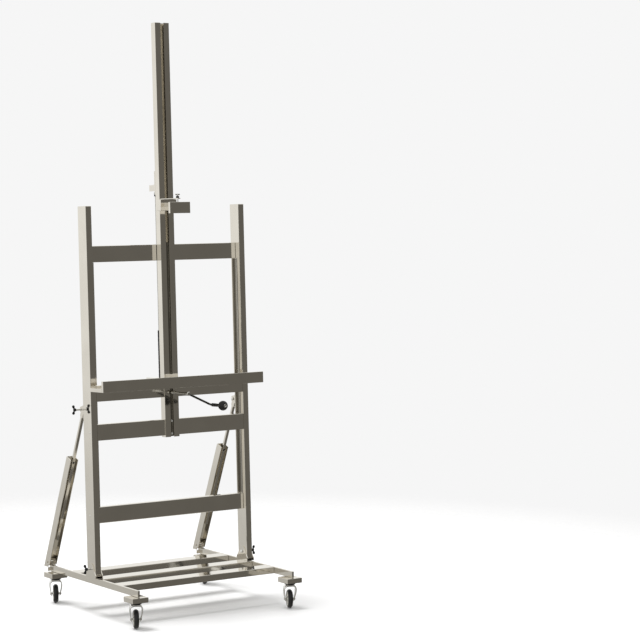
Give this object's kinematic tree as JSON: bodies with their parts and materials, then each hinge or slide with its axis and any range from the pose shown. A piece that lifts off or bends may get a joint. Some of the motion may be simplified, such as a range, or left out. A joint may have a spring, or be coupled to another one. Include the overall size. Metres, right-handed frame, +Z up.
{
  "type": "studio easel",
  "caption": "Rolling H-frame studio easel with a crank-raised mast, canvas tray, sliding top clamp, tilting frame on telescoping struts and swivel casters.",
  "frame": {"origin": "on the floor, at the centre of the bounding box seen from above", "axes": "+Z up; -Y towards the painter, who faces the tray and crank; +X to the painter's right"},
  "size_m": [0.8212, 0.7436, 2.3501],
  "materials": {
    "polished_metal": "mirror-polished warm nickel",
    "caster_chrome": "bright chrome plate",
    "bright_hardware": "bright turned steel",
    "black_plastic": "moulded black plastic",
    "tyre_rubber": "grey-black rubber tread"
  },
  "bodies": {
    "base": {"rail_left": "polished_metal", "rail_right": "polished_metal", "base_bar_front": "polished_metal", "base_bar_middle": "polished_metal", "base_bar_rear": "polished_metal", "base_bracket_left": "polished_metal", "base_bracket_right": "polished_metal", "strut_heel_left": "polished_metal", "strut_heel_right": "polished_metal", "caster_plate_front_left": "polished_metal", "caster_plate_front_right": "polished_metal", "caster_plate_rear_left": "polished_metal", "caster_plate_rear_right": "polished_metal"},
    "upright": {"post_left": "polished_metal", "post_right": "polished_metal", "top_bar": "polished_metal", "tray_bar_left": "polished_metal", "tray_bar_right": "polished_metal", "lower_bar_left": "polished_metal", "lower_bar_right": "polished_metal", "bottom_bar": "polished_metal", "post_ear_left": "polished_metal", "post_ear_right": "polished_metal", "lower_channel": "polished_metal", "mast_guide": "polished_metal", "guide_screw_upper": "bright_hardware", "guide_screw_lower": "bright_hardware", "gear_housing": "polished_metal"},
    "mast": {"mast": "polished_metal", "mast_bracket": "polished_metal", "block_plug": "black_plastic", "lead_screw": "bright_hardware", "screw_nut": "black_plastic", "tray_shelf": "polished_metal", "tray_lip": "polished_metal", "tray_bracket": "polished_metal"},
    "clamp": {"clamp_sleeve": "polished_metal", "clamp_block": "polished_metal", "clamp_strap": "polished_metal"},
    "clamp_screw": {"clamp_screw": "bright_hardware"},
    "crank": {"crank_shaft": "bright_hardware", "crank_arm": "bright_hardware"},
    "crank_knob": {"crank_knob": "black_plastic"},
    "drive_tube": {"drive_tube": "black_plastic"},
    "strut_channel_left": {"strut_channel_left": "polished_metal"},
    "strut_rod_left": {"strut_rod_left": "polished_metal"},
    "tilt_knob_left": {"tilt_knob_left": "black_plastic"},
    "strut_knob_left": {"strut_knob_left": "black_plastic"},
    "strut_channel_right": {"strut_channel_right": "polished_metal"},
    "strut_rod_right": {"strut_rod_right": "polished_metal"},
    "tilt_knob_right": {"tilt_knob_right": "black_plastic"},
    "strut_knob_right": {"strut_knob_right": "black_plastic"},
    "caster_fork_front_left": {"caster_fork_front_left": "caster_chrome"},
    "caster_wheel_front_left": {"caster_wheel_front_left": "tyre_rubber"},
    "caster_fork_front_right": {"caster_fork_front_right": "caster_chrome"},
    "caster_wheel_front_right": {"caster_wheel_front_right": "tyre_rubber"},
    "caster_fork_rear_left": {"caster_fork_rear_left": "caster_chrome"},
    "caster_wheel_rear_left": {"caster_wheel_rear_left": "tyre_rubber"},
    "caster_fork_rear_right": {"caster_fork_rear_right": "caster_chrome"},
    "caster_wheel_rear_right": {"caster_wheel_rear_right": "tyre_rubber"}
  },
  "joints": [
    {"name": "frame_tilt", "type": "hinge", "parent": "base", "child": "upright", "pos_m": [0, -0.01184, 0.18802], "axis": [1, 0, 0], "range_deg": [-8, 4]},
    {"name": "mast_lift", "type": "slide", "parent": "upright", "child": "mast", "axis": [0, 0.0419, 0.9991], "range_m": [0, 0.22]},
    {"name": "crank_turn", "type": "hinge", "parent": "upright", "child": "crank", "pos_m": [0, -0.14352, 0.87313], "axis": [0, 0.9991, -0.0419], "range_deg": [0, 3960]},
    {"name": "drive_turn", "type": "hinge", "parent": "upright", "child": "drive_tube", "pos_m": [0, 0.06031, 0.86459], "axis": [0, 0.0419, 0.9991], "range_deg": [-2376, 0]},
    {"name": "crank_knob_spin", "type": "hinge", "parent": "crank", "child": "crank_knob", "pos_m": [0.105, -0.14561, 0.82318], "axis": [0, 0.9991, -0.0419], "continuous": true},
    {"name": "clamp_slide", "type": "slide", "parent": "mast", "child": "clamp", "axis": [0, 0.0419, 0.9991], "range_m": [-0.6, 0.68]},
    {"name": "clamp_screw_turn", "type": "hinge", "parent": "clamp", "child": "clamp_screw", "pos_m": [0, -0.07098, 1.64857], "axis": [0, 0.0419, 0.9991], "continuous": true},
    {"name": "strut_channel_left_hinge", "type": "hinge", "parent": "base", "child": "strut_channel_left", "pos_m": [-0.3576, 0.34399, 0.165], "axis": [1, 0, 0], "range_deg": [-7, 3.5]},
    {"name": "strut_rod_left_hinge", "type": "hinge", "parent": "upright", "child": "strut_rod_left", "pos_m": [-0.3576, 0.06223, 0.81497], "axis": [1, 0, 0], "range_deg": [-1, 2]},
    {"name": "tilt_knob_left_turn", "type": "hinge", "parent": "upright", "child": "tilt_knob_left", "pos_m": [-0.3576, -0.01184, 0.18802], "axis": [1, 0, 0], "continuous": true},
    {"name": "strut_knob_left_turn", "type": "hinge", "parent": "upright", "child": "strut_knob_left", "pos_m": [-0.3576, 0.06223, 0.81497], "axis": [1, 0, 0], "continuous": true},
    {"name": "strut_channel_right_hinge", "type": "hinge", "parent": "base", "child": "strut_channel_right", "pos_m": [0.3576, 0.34399, 0.165], "axis": [1, 0, 0], "range_deg": [-7, 3.5]},
    {"name": "strut_rod_right_hinge", "type": "hinge", "parent": "upright", "child": "strut_rod_right", "pos_m": [0.3576, 0.06223, 0.81497], "axis": [1, 0, 0], "range_deg": [-1, 2]},
    {"name": "tilt_knob_right_turn", "type": "hinge", "parent": "upright", "child": "tilt_knob_right", "pos_m": [0.3576, -0.01184, 0.18802], "axis": [1, 0, 0], "continuous": true},
    {"name": "strut_knob_right_turn", "type": "hinge", "parent": "upright", "child": "strut_knob_right", "pos_m": [0.3576, 0.06223, 0.81497], "axis": [1, 0, 0], "continuous": true},
    {"name": "caster_swivel_front_left", "type": "hinge", "parent": "base", "child": "caster_fork_front_left", "pos_m": [-0.3588, -0.33681, 0.0975], "axis": [0, 0, 1], "continuous": true},
    {"name": "caster_roll_front_left", "type": "hinge", "parent": "caster_fork_front_left", "child": "caster_wheel_front_left", "pos_m": [-0.35454, -0.32776, 0.0375], "axis": [0.9048, -0.4258, 0], "continuous": true},
    {"name": "caster_swivel_front_right", "type": "hinge", "parent": "base", "child": "caster_fork_front_right", "pos_m": [0.3588, -0.33681, 0.0975], "axis": [0, 0, 1], "continuous": true},
    {"name": "caster_roll_front_right", "type": "hinge", "parent": "caster_fork_front_right", "child": "caster_wheel_front_right", "pos_m": [0.36306, -0.32776, 0.0375], "axis": [0.9048, -0.4258, 0], "continuous": true},
    {"name": "caster_swivel_rear_left", "type": "hinge", "parent": "base", "child": "caster_fork_rear_left", "pos_m": [-0.3588, 0.30419, 0.0975], "axis": [0, 0, 1], "continuous": true},
    {"name": "caster_roll_rear_left", "type": "hinge", "parent": "caster_fork_rear_left", "child": "caster_wheel_rear_left", "pos_m": [-0.35454, 0.31324, 0.0375], "axis": [0.9048, -0.4258, 0], "continuous": true},
    {"name": "caster_swivel_rear_right", "type": "hinge", "parent": "base", "child": "caster_fork_rear_right", "pos_m": [0.3588, 0.30419, 0.0975], "axis": [0, 0, 1], "continuous": true},
    {"name": "caster_roll_rear_right", "type": "hinge", "parent": "caster_fork_rear_right", "child": "caster_wheel_rear_right", "pos_m": [0.36306, 0.31324, 0.0375], "axis": [0.9048, -0.4258, 0], "continuous": true}
  ],
  "couplings": [
    {"joint": "crank_turn", "follows": "mast_lift", "rad_per_m": 314},
    {"joint": "drive_turn", "follows": "mast_lift", "rad_per_m": -188},
    {"joint": "strut_channel_left_hinge", "follows": "frame_tilt", "ratio": 0.785},
    {"joint": "strut_rod_left_hinge", "follows": "frame_tilt", "ratio": -0.215},
    {"joint": "strut_channel_right_hinge", "follows": "frame_tilt", "ratio": 0.785},
    {"joint": "strut_rod_right_hinge", "follows": "frame_tilt", "ratio": -0.215}
  ]
}
